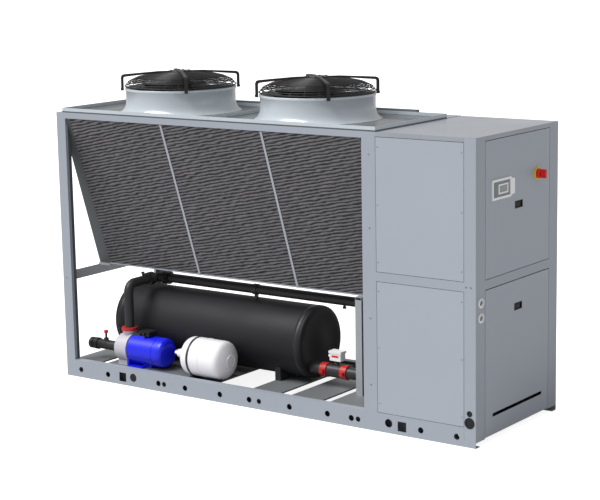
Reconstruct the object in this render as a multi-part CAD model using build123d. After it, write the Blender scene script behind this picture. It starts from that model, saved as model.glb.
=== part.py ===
from build123d import *
import os
from math import cos, sin, radians, hypot

# Packaged air-cooled condensing unit, drawn in shop coordinates: x from the left end, y from
# the front, z up from the ground, all in millimetres. save() moves the origin to the middle
# of the footprint. A galvanised channel base carries folded posts, a V of two coils under two
# axial fans, the water pack (pump, buffer tank, expansion vessel) and a sheet-metal cabinet.

# Driving dimensions
LENGTH = 3386
DEPTH = 1040
FRAME_TOP = 1900
POST_FOOT = 124
BEAM_FOOT = 1859
DIVIDER_X = 2576
CABINET_X = 2674
RAIL_HEIGHT = 124
PLATE_TOP = 104
DECK_DEPTH = 850
FAN_CENTRES = (785, 1948)
FAN_Y = 427
NOZZLE_RADIUS = 380
BLADE_RADIUS = 366
BLADE_COUNT = 5
COIL_TOP = (8, 1858)
COIL_FOOT = (383.4, 766)
COIL_THICKNESS = 25
COIL_ENDS = (42, 2560)
TANK_RADIUS = 249
TANK_AXIS = (540, 366)
PUMP_AXIS = (190, 222)
PIPE_AXIS = (520, 681)
OUTLET_AXIS = (430, 215)
HINGE = (LENGTH - 8, 910)
LATCH_CENTRES = ((526, 1437), (523, 795))
GAUGE_HEIGHTS = (896, 803)

MIDDLE = Plane(origin=(0, DEPTH / 2, 0), z_dir=(0, 1, 0))
COIL_MIDDLE = Plane(origin=(0, FAN_Y, 0), z_dir=(0, 1, 0))


def save(name, *shapes):
    """Move one node's pieces to the middle of the footprint and write their file."""
    pieces = [Pos(-LENGTH / 2, -DEPTH / 2, 0) * solid for shape in shapes for solid in shape.solids()]
    whole = pieces[0] if len(pieces) == 1 else Compound(pieces)
    export_step(whole, "parts/" + name + ".step")


def block(x0, x1, y0, y1, z0, z1):
    """A plain block between three pairs of planes."""
    return Pos((x0 + x1) / 2, (y0 + y1) / 2, (z0 + z1) / 2) * Box(x1 - x0, y1 - y0, z1 - z0)


def rod(start, end, radius):
    """A round bar between two points."""
    run = Vector(*end) - Vector(*start)
    return extrude(Plane(origin=start, z_dir=run) * Circle(radius), run.length)


def turned(origin, direction, *points):
    """A turned shape: (radius, height) points spun about an axis."""
    shape = revolve(Plane.XZ * make_face(Polyline(*points, close=True)), Axis.Z, 360)
    return Plane(origin=origin, z_dir=direction).location * shape


def folded_x(path, thickness, x0, x1):
    """A folded sheet whose (y, z) section runs along x."""
    return extrude(Plane.YZ.offset(x0) * trace(Polyline(*path), thickness), x1 - x0)


def folded_y(path, thickness, y0, y1):
    """A folded sheet whose (x, z) section runs along y."""
    return extrude(Plane.XZ.offset(-y0) * trace(Polyline(*path), thickness), y0 - y1)


def folded_z(path, thickness, z0, z1):
    """A folded sheet whose (x, y) section stands along z."""
    return extrude(Plane.XY.offset(z0) * trace(Polyline(*path), thickness), z1 - z0)


def pipe(points, radius, bend):
    """A round pipe swept round its bends."""
    path = FilletPolyline(*points, radius=bend)
    return sweep(Plane(origin=path @ 0, z_dir=path % 0) * Circle(radius), path=path)


def to_rear(shape):
    """The same piece on the rear face of the unit."""
    return mirror(shape, about=MIDDLE)


os.makedirs("parts", exist_ok=True)

# Base: two 4 mm channel rails with lifting, drain and cable holes in their webs and a foot
# hole near each end of the bottom flange. The corner post's skin replaces the web at the right.
rail = folded_x([(50, 2), (2, 2), (2, RAIL_HEIGHT - 2), (50, RAIL_HEIGHT - 2)], 4, 0, LENGTH)
rail -= block(3305, LENGTH + 1, -1, 6, 34, RAIL_HEIGHT + 1)
rail -= block(LENGTH - 4, LENGTH + 1, -1, 51, 34, RAIL_HEIGHT + 1)
rail -= block(3304, 3309, -1, 19, 34, RAIL_HEIGHT + 1)
for x in (135, 392, 859, 1097, 1401, 1650, 1982, 2286, 2472, 2993, 3252):
    rail -= rod((x, -1, 56), (x, 5, 56), 20)
for x in (910, 1732, 2524):
    rail -= rod((x, -1, 56), (x, 5, 56), 18)
for x, radius in ((629, 25), (2756, 27.5)):
    rail -= rod((x, -1, 65), (x, 5, 65), radius)
for x in (531, 2855):
    rail -= block(x - 32, x + 32, -1, 5, 24, 88)
for x in (180, LENGTH - 180):
    rail -= rod((x, 28, -1), (x, 28, 5), 9)
save("base_rail_front", rail)
save("base_rail_rear", to_rear(rail))

# Inverted trays between the rails carry the water pack; the last one is the cabinet's floor.
plates = []
for x0, x1 in ((0, 60), (62, 235), (293, 641), (722, 980), (1050, 1306), (1603, 1835), (1923, 2172),
               (2234, 2500), (2560, 3304)):
    section = [(x0 + 1.5, 20), (x0 + 1.5, PLATE_TOP - 1.5), (x1 - 1.5, PLATE_TOP - 1.5), (x1 - 1.5, 20)]
    plates.append(folded_y(section, 3, 4, DEPTH - 4))
end_member = folded_y([(3356.5, 38.5), (3317.5, 38.5), (3317.5, 117.5), (3356.5, 117.5)], 3, 3, DEPTH - 3)
save("base_cross_members", *plates, end_member)

# Posts: folded 3 mm sheet with return lips.
post = folded_z([(78.5, 6), (78.5, 1.5), (1.5, 1.5), (1.5, 55.5), (18, 55.5)], 3, POST_FOOT, BEAM_FOOT)
save("posts_left", post, to_rear(post))

post = folded_z([(2574.5, 57), (2574.5, 1.5), (2672.5, 1.5), (2672.5, 18)], 3, POST_FOOT, BEAM_FOOT)
save("posts_middle", post, to_rear(post))

post = folded_z([(3306.5, 18), (3306.5, 1.5), (LENGTH - 1.5, 1.5), (LENGTH - 1.5, 112)], 3, 34, 1897)
rear_post = to_rear(post)
for z in GAUGE_HEIGHTS:
    post -= rod((LENGTH - 5, 61, z), (LENGTH + 1, 61, z), 24.2)
post -= rod((3343, -1, 155), (3343, 4, 155), 31)
post -= rod((3343, -1, 214), (3343, 4, 214), 15)
bracket = block(3330, LENGTH - 2, 895, DEPTH - 4, 34, 37) - rod((*HINGE, 33), (*HINGE, 38), 4)
save("posts_right", post, rear_post + bracket)

# Top frame: folded beams along both long sides, one across the left end, three bearers.
beam_section = [(55.5, 1880), (55.5, 1898.5), (1.5, 1898.5), (1.5, BEAM_FOOT + 1.5), (20, BEAM_FOOT + 1.5)]
beam = folded_x(beam_section, 3, 0, CABINET_X)
save("top_beams_long", beam, to_rear(beam))

end_beam = folded_y(beam_section, 3, 57, DEPTH - 57)
bearers = []
for x in (1340, 2610):
    section = [(x + 1.5, 1866), (x + 1.5, 1898.5), (x + 48.5, 1898.5), (x + 48.5, 1866)]
    bearers.append(folded_y(section, 3, 57, DEPTH - 57))
save("top_cross_beams", end_beam, *bearers)

# The roof strip behind the fan deck, and the cabinet's roof with its folded edge.
strip = block(0, CABINET_X - 2, 856, DEPTH, FRAME_TOP, FRAME_TOP + 2)
save("rear_roof_strip", strip)

roof = block(CABINET_X, LENGTH, 0, DEPTH, 1897, FRAME_TOP)
roof += block(CABINET_X, 3304.5, 0, 2, 1872, 1898)
roof += block(CABINET_X, 3304.5, DEPTH - 2, DEPTH, 1872, 1898)
roof += block(LENGTH - 2, LENGTH, 112.5, 927.5, 1872, 1898)
roof += block(3340, LENGTH - 1, 895, 927.5, 1872, 1875)
roof -= rod((*HINGE, 1871), (*HINGE, 1876), 4)
save("cabinet_roof", roof)

# Belt rails round the cabinet between the two rows of panels, and the shelf they carry.
belt = folded_x([(18, 969.5), (1.5, 969.5), (1.5, 1024.5), (18, 1024.5)], 3, CABINET_X, 3305)
side_section = [(LENGTH - 18, 969.5), (LENGTH - 1.5, 969.5), (LENGTH - 1.5, 1024.5), (LENGTH - 18, 1024.5)]
side_belt = folded_y(side_section, 3, 112, 928)
side_belt -= rod((*HINGE, 960), (*HINGE, 1030), 4)
shelf = block(CABINET_X, LENGTH - 3, 20, DEPTH - 20, 988.5, 991.5)
save("cabinet_belt_rails", belt, to_rear(belt), side_belt, shelf)


def tray(x0, x1, z0, z1):
    """A folded panel whose rim is turned inwards behind its flat face."""
    return block(x0, x1, 0, 20, z0, z1) - block(x0 + 2, x1 - 2, 2, 21, z0 + 2, z1 - 2)


upper_panel = tray(2677, 3302, 1029, 1869)
lower_panel = tray(2677, 3302, 127, 965)
save("panel_front_upper", upper_panel)
save("panel_front_lower", lower_panel)
save("panels_rear", to_rear(upper_panel), to_rear(lower_panel))

# The wall between the coil bay and the cabinet, with its pipe holes.
divider = block(DIVIDER_X, DIVIDER_X + 3, 4, DEPTH - 4, POST_FOOT, BEAM_FOOT)
for y, z, radius in ((*PIPE_AXIS, 40), (*OUTLET_AXIS, 48), (414, 800, 18), (440, 930, 14)):
    divider -= rod((DIVIDER_X - 1, y, z), (DIVIDER_X + 4, y, z), radius)
save("cabinet_divider", divider)


# Doors on the right end: folded trays that turn on hidden pins near their rear edge.
def door(z0, z1, latch):
    """A tray door with pivot bushes in its corners and a cut-out for the latch dish."""
    leaf = block(LENGTH - 18, LENGTH, 116, 924, z0, z1)
    leaf -= block(LENGTH - 19, LENGTH - 2, 118, 922, z0 + 2, z1 - 2)
    for z in (z0, z1 - 16):
        leaf += rod((*HINGE, z), (*HINGE, z + 16), 7.5)
        leaf -= rod((*HINGE, z - 1), (*HINGE, z + 17), 4.05)
    leaf -= block(LENGTH - 3, LENGTH + 1, latch[0] - 45, latch[0] + 45, latch[1] - 20, latch[1] + 20)
    return leaf


electrical_door = door(1030, 1868, LATCH_CENTRES[0])
electrical_door -= rod((LENGTH - 3, 762, 1599), (LENGTH + 1, 762, 1599), 12)
save("electrical_door", electrical_door)

compressor_door = door(40, 962, LATCH_CENTRES[1])
slot = Plane.YZ.offset(LENGTH - 3) * Pos(522, 164) * SlotOverall(634, 22)
compressor_door -= extrude(slot, 4)
save("compressor_door", compressor_door)

pins = [rod((*HINGE, z0), (*HINGE, z1), 4) for z0, z1 in ((34, 54), (950, 971), (1023, 1044), (1854, 1875))]
save("door_hinge_pins", *pins)


# Latches: a moulded dish let into the door, crossed by a pin that the lifting paddle turns on.
def latch(y, z):
    """The dish with its pin, and the paddle at rest."""
    x = LENGTH
    dish = block(x, x + 1.5, y - 48, y + 48, z - 23, z + 23)
    dish += block(x - 14, x, y - 45, y + 45, z - 20, z + 20)
    dish -= block(x - 12, x + 2, y - 43, y + 43, z - 18, z + 18)
    dish += rod((x - 5, y - 44, z + 12), (x - 5, y + 44, z + 12), 1.5)
    paddle = block(x - 7, x - 3, y - 30, y + 30, z - 16, z + 10)
    paddle += rod((x - 5, y - 30, z + 12), (x - 5, y + 30, z + 12), 3.5)
    paddle -= rod((x - 5, y - 31, z + 12), (x - 5, y + 31, z + 12), 1.55)
    return dish, paddle


for name, centre in (("upper", LATCH_CENTRES[0]), ("lower", LATCH_CENTRES[1])):
    dish, paddle = latch(*centre)
    save("latch_dish_" + name, dish)
    save("latch_paddle_" + name, paddle)

# Controller: a white framed housing with a grey side cheek round the screen.
housing = block(LENGTH, LENGTH + 8, 187, 420, 1500, 1624)
housing = fillet(housing.edges().filter_by(Axis.X), 6)
housing -= block(LENGTH + 3, LENGTH + 9, 201, 406, 1514, 1610)
cheek_outline = Polyline((419, 1508), (468, 1514), (468, 1608), (419, 1614), close=True)
housing += extrude(Plane.YZ.offset(LENGTH) * make_face(cheek_outline), 5)
save("display_housing", housing)
screen = block(LENGTH + 3, LENGTH + 5, 265, 385, 1530, 1590)
save("display_screen", screen)

# Main switch: a yellow plate and a red knob with a raised grip that turns on its shaft.
plate = turned((LENGTH, 762, 1599), (1, 0, 0), (6.05, 0), (36, 0), (36, 4), (34, 6), (6.05, 6))
save("main_switch_plate", plate)
knob = turned((LENGTH, 762, 1599), (1, 0, 0), (0, -14), (6, -14), (6, 6.5), (30, 6.5), (30, 20), (26, 26), (0, 26))
knob += block(LENGTH + 20, LENGTH + 64, 755, 769, 1571, 1627) & rod((LENGTH, 762, 1599), (LENGTH + 70, 762, 1599), 28)
save("main_switch_knob", knob)

# Pressure gauges: round cases through the corner post, each with a needle on a fine pin.
cases = []
for name, z in (("high", GAUGE_HEIGHTS[0]), ("low", GAUGE_HEIGHTS[1])):
    case = turned((LENGTH, 61, z), (1, 0, 0), (0, -30), (24, -30), (24, 0), (31.5, 0), (31.5, 6), (29.5, 8),
                  (28, 8), (28, 3), (1, 3), (1, 6), (0, 6))
    cases.append(case)
    needle = rod((LENGTH + 3.5, 61, z), (LENGTH + 5.5, 61, z), 3.5)
    needle += block(LENGTH + 3.7, LENGTH + 4.7, 60, 62, z - 9, z + 21)
    needle -= rod((LENGTH + 3, 61, z), (LENGTH + 7, 61, z), 1.05)
    turn = Plane(origin=(0, 61, z), x_dir=(0, 1, 0), z_dir=(1, 0, 0)).location
    save("gauge_needle_" + name, turn * Rot(0, 0, 130) * turn.inverse() * needle)
save("gauge_cases", *cases)

# Rubber grommets in the corner post and the grey cap in the rail.
grommets = []
for z, flange, neck in ((214, 18.5, 15), (155, 35, 31)):
    grommets.append(turned((3343, 0, z), (0, -1, 0), (0, -2), (neck - 3, -2), (neck - 3, -6), (flange - 1, -6),
                           (flange - 1, -3), (neck, -3), (neck, 0), (flange, 0), (flange, 2), (neck - 5, 2),
                           (neck - 6, 0), (0, 0)))
grommets.append(turned((629, 0, 65), (0, -1, 0), (0, -3.8), (24.5, -3.8), (24.5, 0), (29, 0), (28, 2), (0, 2)))
save("cable_grommets", *grommets)

# Fan deck: one shallow tray per fan with a drawn bell-mouth nozzle and a rolled collar.
HALF = DECK_DEPTH / 2
for name, x, x0, x1 in (("left", FAN_CENTRES[0], 56, 1364), ("right", FAN_CENTRES[1], 1366, 2674)):
    y0, y1 = FAN_Y - HALF, FAN_Y + HALF
    deck = block(x0, x1, y0, y1, FRAME_TOP, 1932) - block(x0 + 2, x1 - 2, y0 + 2, y1 - 2, 1899, 1933)
    deck += block(x0 + 1, x1 - 1, y0 + 1, y1 - 1, 1905.5, 1908.5) - rod((x, FAN_Y, 1900), (x, FAN_Y, 1910), 430.5)
    outer = NOZZLE_RADIUS
    inner = NOZZLE_RADIUS - 3
    wall = Curve() + [
        ThreePointArc((outer + 52, 1908), (outer + 13.5, 1966.3), (outer, 2035)),
        Polyline((outer, 2035), (outer, 2053), (outer + 4, 2057), (outer + 4, 2071), (outer + 1, 2075),
                 (inner, 2075), (inner, 2035)),
        ThreePointArc((inner, 2035), (inner + 13.8, 1965.2), (inner + 52.9, 1905.9)),
        Line((inner + 52.9, 1905.9), (outer + 52, 1908)),
    ]
    nozzle = Pos(x, FAN_Y, 0) * revolve(Plane.XZ * make_face(wall), Axis.Z, 360)
    nozzle &= block(x0 + 1, x1 - 1, y0 + 1, y1 - 1, 1900, 2100)
    save("fan_plate_" + name, deck + nozzle)

    # Welded guard: four legs off the collar, arms to the middle plate, rings and spokes under them.
    guard = rod((0, 0, 2170), (0, 0, 2178), 85)
    arm_path = trace(Polyline((410, 2051), (410, 2152), (150, 2180), (60, 2180)), 20)
    arm = extrude(Plane.XZ.offset(-11) * arm_path, 22) + block(384, 402, -11, 11, 2051, 2068)
    spoke_path = trace(Polyline((384, 2080), (360, 2110), (300, 2140), (160, 2167), (75, 2175.5)), 5)
    spoke = extrude(Plane.XZ.offset(-2.5) * spoke_path, 5)
    for step in range(4):
        guard += Rot(0, 0, 45 + 90 * step) * arm
    for step in range(12):
        guard += Rot(0, 0, 15 + 30 * step) * spoke
    for radius, z in ((384, 2080), (300, 2140), (230, 2153.5), (160, 2167)):
        half = 3.5 if radius < 384 else 2.5
        ring = [(radius - half, z - half), (radius + half, z - half), (radius + half, z + half), (radius - half, z + half)]
        guard += turned((0, 0, 0), (0, 0, 1), *ring)
    guard += rod((384 * cos(radians(45)), 384 * sin(radians(45)), 2080), (402 * cos(radians(45)), 402 * sin(radians(45)), 2080), 3)
    for step in range(1, 4):
        turn = radians(45 + 90 * step)
        guard += rod((384 * cos(turn), 384 * sin(turn), 2080), (402 * cos(turn), 402 * sin(turn), 2080), 3)
    save("fan_guard_" + name, Pos(x, FAN_Y, 0) * guard)

    # External-rotor motor: the fixed stator plate and its shaft, hung under the middle plate.
    motor = turned((x, FAN_Y, 0), (0, 0, 1), (0, 2030), (14, 2030), (14, 2112), (60, 2112), (80, 2120),
                   (80, 2170), (0, 2170))
    save("fan_motor_" + name, motor)

    # Impeller: the rotor can as hub, with swept blades twisted from root to tip.
    impeller = turned((0, 0, 0), (0, 0, 1), (14.05, 2026), (30, 2022), (60, 1992), (88, 1992), (95, 1999),
                      (95, 2098), (88, 2105), (14.05, 2105))
    sections = []
    for radius, chord, pitch, lag in ((84, 120, 38, 0), (220, 175, 27, 7), (376, 215, 19, 24)):
        slope = radians(pitch)
        lean = radians(lag)
        place = Plane(origin=(radius * cos(lean), radius * sin(lean), 2040),
                      x_dir=(-sin(lean) * cos(slope), cos(lean) * cos(slope), sin(slope)),
                      z_dir=(cos(lean), sin(lean), 0))
        top = Spline((-chord / 2, 0), (-chord / 6, 11), (chord / 4, 10), (chord / 2, 0))
        under = Spline((chord / 2, 0), (chord / 4, 4), (-chord / 6, 4), (-chord / 2, 0))
        sections.append(place * make_face(top + under))
    blade = loft(sections) & rod((0, 0, 1900), (0, 0, 2110), BLADE_RADIUS)
    for step in range(BLADE_COUNT):
        impeller += Rot(0, 0, 360 / BLADE_COUNT * step) * blade
    save("fan_impeller_" + name, Pos(x, FAN_Y, 0) * impeller)

# The closed cable trunking behind the deck.
save("fan_cable_trunking", block(300, 2436, 856, 897, 1902, 1943))

# Coils: two slabs leaning together into a V.
along = Vector(COIL_FOOT[0] - COIL_TOP[0], COIL_FOOT[1] - COIL_TOP[1]).normalized()
inward = Vector(-along.Y, along.X)


def slab(x0, x1, out, back, cut=0):
    """A plate lying in the front coil's plane, from `out` before its face to `back` behind it."""
    top = Vector(*COIL_TOP) + along * cut
    foot = Vector(*COIL_FOOT) - along * cut
    corners = [top - inward * out, foot - inward * out, foot + inward * back, top + inward * back]
    outline = make_face(Polyline(*[(c.X, c.Y) for c in corners], close=True))
    plate = extrude(Plane.YZ.offset(x0) * outline, x1 - x0)
    return plate & block(x0 - 1, x1 + 1, 3, FAN_Y - 1, COIL_FOOT[1], 1858)


core_ends = (110, 2548)
front_coil = slab(*core_ends, 0, COIL_THICKNESS)
save("coil_front", front_coil)
save("coil_rear", mirror(front_coil, about=COIL_MIDDLE))

# Coil frames: end flanges, the two joint strips on each face, the sheet that closes the V.
left_flange = slab(0, 110, 2, COIL_THICKNESS + 2)
taper = Polyline((COIL_ENDS[0], 1860), (111, 1860), (111, 760), (8, 760), close=True)
left_flange &= extrude(Plane.XZ * make_face(taper), -FAN_Y)
grid = slab(*core_ends, 3, 0) & block(109, 2549, 0, FAN_Y, COIL_FOOT[1] - 1, COIL_FOOT[1] + 11)
for x in (947, 1792):
    grid += slab(x - 7, x + 7, 3, 0)
frame = [left_flange, slab(core_ends[1], COIL_ENDS[1], 2, COIL_THICKNESS + 2), grid]
pieces = frame + [mirror(piece, about=COIL_MIDDLE) for piece in frame]
v_outline = Polyline((45, 1850), (809, 1850), (445, 790), (409, 790), close=True)
pieces.append(extrude(Plane.YZ.offset(60) * make_face(v_outline), 2))
save("coil_frames", *pieces)


# Headers: a gas header and a liquid header inside the V at each coil's right end.
def header(z0, z1):
    """A header parallel to the front coil, 50 mm behind its face."""
    ends = []
    for z in (z0, z1):
        face_y = COIL_TOP[0] + (COIL_TOP[1] - z) * (COIL_FOOT[0] - COIL_TOP[0]) / (COIL_TOP[1] - COIL_FOOT[1])
        ends.append((2542, face_y + 50 * inward.X, z + 50 * inward.Y))
    return rod(ends[0], ends[1], 18)


front_headers = [header(1790, 1300), header(1260, 890)]
rear_headers = [mirror(piece, about=COIL_MIDDLE) for piece in front_headers]
save("coil_headers", *front_headers, *rear_headers)

# Supports: a crossbar at each end and a galvanised portal near the right end.
left_bar = block(0, 40, 57, DEPTH - 57, 694, 752) - block(3, 37, 56, DEPTH - 56, 697, 753)
left_bar += block(2, 112, 374, 480, 749, 766) - block(5, 113, 377, 477, 748, 763)
right_bar = block(2536, DIVIDER_X, 57, DEPTH - 57, 728, 766) - block(2539, DIVIDER_X - 3, 56, DEPTH - 56, 727, 763)
portal = [block(2291, 2341, 326, 615, 746, 766) - block(2294, 2338, 325, 616, 745, 763)]
for y in (326, 575):
    portal.append(block(2291, 2341, y, y + 40, PLATE_TOP, 746) - block(2294, 2342, y + 3, y + 37, PLATE_TOP + 4, 742))
save("coil_supports", left_bar, right_bar, *portal)


# Buffer tank: a shell between two dished heads.
def dished(start, direction, radius, length, dome):
    """A cylinder closed by dished heads, along an axis."""
    knuckle = 0.7071
    foot = Spline((0, -dome), (radius * knuckle, -dome * knuckle), (radius, 0), tangents=[(1, 0), (0, 1)])
    crown = Spline((radius, length), (radius * knuckle, length + dome * knuckle), (0, length + dome),
                   tangents=[(0, 1), (-1, 0)])
    outline = Curve() + [foot, Line((radius, 0), (radius, length)), crown, Line((0, length + dome), (0, -dome))]
    shape = revolve(Plane.XZ * make_face(outline), Axis.Z, 360)
    return Plane(origin=start, z_dir=direction).location * shape


tank = dished((232, *TANK_AXIS), (1, 0, 0), TANK_RADIUS, 1608, 30)
save("buffer_tank", tank)

# Tank saddles, the pipe's stand on the tank and the strap that holds the expansion vessel.
brackets = []
for x in (420, 1605):
    saddle = block(x, x + 45, 355, 725, PLATE_TOP, 260)
    brackets.append(saddle - rod((x - 1, *TANK_AXIS), (x + 46, *TANK_AXIS), TANK_RADIUS))
stand = block(1324, 1344, 510, 530, 590, 655) - rod((1290, *TANK_AXIS), (1380, *TANK_AXIS), TANK_RADIUS)
stand += rod((1316, *PIPE_AXIS), (1352, *PIPE_AXIS), 38)
brackets.append(stand - rod((1290, *PIPE_AXIS), (1380, *PIPE_AXIS), 33))
strap = rod((1098, 148, 251), (1114, 148, 251), 137)
strap += block(1098, 1114, 62, 234, PLATE_TOP, 165)
brackets.append(strap - rod((1080, 148, 251), (1142, 148, 251), 134))
save("tank_brackets", *brackets)

# Pump casing with its suction eye, discharge neck and foot.
casing = turned((0, *PUMP_AXIS), (1, 0, 0), (0, 353), (52, 353), (60, 362), (90, 368), (98, 378), (98, 466), (109, 472),
                (109, 490), (0, 490))
casing += rod((445, *PUMP_AXIS), (445, PUMP_AXIS[0], 350), 38) + rod((445, PUMP_AXIS[0], 338), (445, PUMP_AXIS[0], 350), 52)
casing += block(380, 470, 130, 250, PLATE_TOP, 140)
save("pump_casing", casing)

# Pump motor: smooth shell with a rounded fan cover, feet and terminal box.
motor = turned((0, *PUMP_AXIS), (1, 0, 0), (0, 490), (96, 490), (104, 498), (104, 716), (101, 718), (101, 724), (104, 726),
               (104, 768), (98, 786), (85, 797), (64, 800), (0, 800))
motor += block(590, 670, 150, 230, PLATE_TOP, 150)
motor += block(515, 615, 150, 230, 290, 345)
save("pump_motor", motor)

# Expansion vessel: a domed shell with a connection pipe to the tank's side.
vessel = dished((1075, 148, 251), (1, 0, 0), 134, 240, 75)
vessel += turned((0, 148, 251), (1, 0, 0), (0, 930), (24, 930), (30, 940), (30, 985), (62, 1012), (0, 1030))
vessel += pipe([(940, 148, 251), (890, 148, 251), (890, 330, 251)], 12, 30)
vessel -= rod((800, *TANK_AXIS), (1000, *TANK_AXIS), TANK_RADIUS)
save("expansion_vessel", vessel)

# Discharge pipe: up from the pump, back over the tank, along to the evaporator.
discharge = pipe([(445, 190, 350), (445, 190, 681), (445, 520, 681), (2640, 520, 681)], 33, 62)
discharge += rod((445, 350, 707), (445, 350, 735), 8) + rod((445, 350, 729), (445, 350, 742), 12)
discharge += rod((2074, 520, 655), (2074, 520, 634), 8) + rod((2074, 520, 640), (2074, 520, 627), 13)
save("discharge_pipe", discharge)

# Outlet line: tank nozzle, flow switch tee and the pipe into the cabinet.
outlet = turned((0, *OUTLET_AXIS), (1, 0, 0), (0, 1800), (40, 1800), (40, 2003), (45, 2008), (45, 2107), (40, 2112),
                (40, 2640), (0, 2640)) - tank
outlet += rod((2073, 430, 250), (2073, 430, 290), 14)
save("outlet_pipe", outlet)

couplings = [rod((445, 190, 350), (445, 190, 372), 58) - rod((445, 190, 349), (445, 190, 373), 33.05)]
for x in (1952, 2114):
    ring = rod((x, *OUTLET_AXIS), (x + 50, *OUTLET_AXIS), 49)
    ring += block(x + 10, x + 40, 366, 494, 203, 227)
    couplings.append(ring - rod((x - 1, *OUTLET_AXIS), (x + 51, *OUTLET_AXIS), 40.05))
for start, end, ears in (((508, *PIPE_AXIS), (556, *PIPE_AXIS), block(518, 546, 458, 582, 670, 692)),
                         ((445, 400, 681), (445, 448, 681), block(383, 507, 410, 438, 670, 692))):
    couplings.append(rod(start, end, 47) + ears - rod(start, end, 33.05))
save("grooved_couplings", *couplings)

switch = block(2026, 2120, 400, 460, 290, 352)
switch = fillet(switch.edges().filter_by(Axis.Z), 8)
save("flow_switch", switch)

# Suction line: threaded unions on the return connection and a small valve body.
suction = turned((0, 190, 213), (1, 0, 0), (28, 75), (40, 75), (40, 102), (35, 102), (35, 118), (42, 118), (42, 148),
                 (35, 148), (35, 300), (40, 304), (40, 330), (35, 334), (35, 353), (0, 353), (0, 140), (28, 140))
suction += rod((215, 190, 240), (215, 190, 262), 18) + rod((215, 190, 260), (215, 190, 308), 8)
save("suction_union", suction)
handle = turned((215, 190, 0), (0, 0, 1), (8.05, 296), (13, 298), (15, 304), (15, 316), (12, 320), (0, 320),
                (0, 308.5), (8.05, 308.5))
save("suction_valve_handle", handle)

# Cabinet: scroll compressors on the floor, plate heat exchanger, liquid receiver.
compressors = []
for x in (2950, 3210):
    body = turned((x, 560, 0), (0, 0, 1), (0, 118), (84, 118), (95, 135), (95, 520), (86, 545), (60, 570), (22, 582),
                  (18, 584), (18, 625), (0, 625))
    body += block(x - 95, x + 95, 465, 655, PLATE_TOP, 120)
    compressors.append(body)
save("compressors", *compressors)

exchanger = extrude(Plane.YZ.offset(2640) * Pos(475, 450) * RectangleRounded(170, 540, 28), 120)
exchanger += block(2655, 2745, 410, 540, PLATE_TOP, 200)
save("heat_exchanger", exchanger)

receiver = turned((2735, 235, 0), (0, 0, 1), (0, PLATE_TOP), (70, PLATE_TOP), (70, 125), (78, 130), (80, 142), (80, 655),
                  (68, 685), (20, 700), (0, 700))
save("liquid_receiver", receiver)

# Electrical plate: drives, contactors and terminal rows behind the upper door.
board = block(2690, 2693, 170, 870, 991.5, 1840)
for y0, y1, z0, z1, deep in ((200, 380, 1560, 1800, 150), (400, 580, 1560, 1800, 150), (620, 840, 1600, 1780, 110),
                             (200, 420, 1330, 1420, 90), (440, 840, 1330, 1420, 70), (200, 840, 1130, 1200, 55)):
    board += block(2692, 2692 + deep, y0, y1, z0, z1)
for z in (1240, 1480):
    board += block(2692, 2732, 190, 850, z, z + 40)
save("electrical_plate", board)

# Copper lines: suction and gas lines of the compressors, liquid lines of the receiver.
suction_line = pipe([(2760, 430, 674), (2830, 430, 674), (2830, 430, 300), (3210, 430, 300), (3210, 470, 300)], 16, 24)
suction_line += rod((2950, 430, 300), (2950, 470, 300), 16)
gas_line = pipe([(3210, 560, 625), (3210, 560, 800), (2950, 560, 800)], 12, 30)
gas_line += pipe([(2950, 560, 800), (2640, 560, 800), (2640, 414, 800), (2557, 414, 800), (2557, 414, 1400)], 12, 16)
gas_line += rod((2950, 560, 625), (2950, 560, 800), 12)
gas_line += rod((2557, 225, 1400), (2557, 629, 1400), 12)
liquid_line = pipe([(2735, 235, 700), (2735, 235, 930), (2735, 440, 930), (2530, 440, 930)], 8, 24)
liquid_tee = rod((2522, 396, 930), (2522, 458, 930), 8)
return_line = pipe([(2810, 235, 226), (2835, 235, 226), (2835, 520, 226), (2760, 520, 226)], 10, 14)
for body in compressors:
    suction_line -= body
for piece in (*front_headers, *rear_headers):
    gas_line -= piece
    liquid_tee -= piece
save("refrigerant_pipes", suction_line, gas_line, liquid_line, liquid_tee, return_line - receiver)
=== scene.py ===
import bpy
from math import asin, cos, pi, radians, sin
from mathutils import Matrix, Vector


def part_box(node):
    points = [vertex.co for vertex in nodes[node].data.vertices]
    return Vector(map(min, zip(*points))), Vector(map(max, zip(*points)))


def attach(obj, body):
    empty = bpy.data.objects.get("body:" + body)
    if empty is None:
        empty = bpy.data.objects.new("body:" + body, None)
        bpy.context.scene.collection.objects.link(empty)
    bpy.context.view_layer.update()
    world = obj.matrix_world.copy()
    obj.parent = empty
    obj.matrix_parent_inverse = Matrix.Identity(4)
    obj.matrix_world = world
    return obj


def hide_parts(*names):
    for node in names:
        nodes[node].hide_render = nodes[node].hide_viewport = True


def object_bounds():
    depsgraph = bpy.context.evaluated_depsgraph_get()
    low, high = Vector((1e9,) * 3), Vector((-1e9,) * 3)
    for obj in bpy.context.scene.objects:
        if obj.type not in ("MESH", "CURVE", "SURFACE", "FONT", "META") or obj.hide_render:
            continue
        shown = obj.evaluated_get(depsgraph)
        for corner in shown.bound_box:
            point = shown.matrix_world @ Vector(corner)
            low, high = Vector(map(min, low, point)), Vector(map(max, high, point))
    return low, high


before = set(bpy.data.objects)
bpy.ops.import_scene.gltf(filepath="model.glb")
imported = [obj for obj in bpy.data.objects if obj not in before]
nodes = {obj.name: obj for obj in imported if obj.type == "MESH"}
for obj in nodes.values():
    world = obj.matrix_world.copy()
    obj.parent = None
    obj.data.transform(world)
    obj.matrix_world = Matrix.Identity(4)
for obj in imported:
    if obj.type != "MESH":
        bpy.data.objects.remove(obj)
cad_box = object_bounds()

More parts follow.
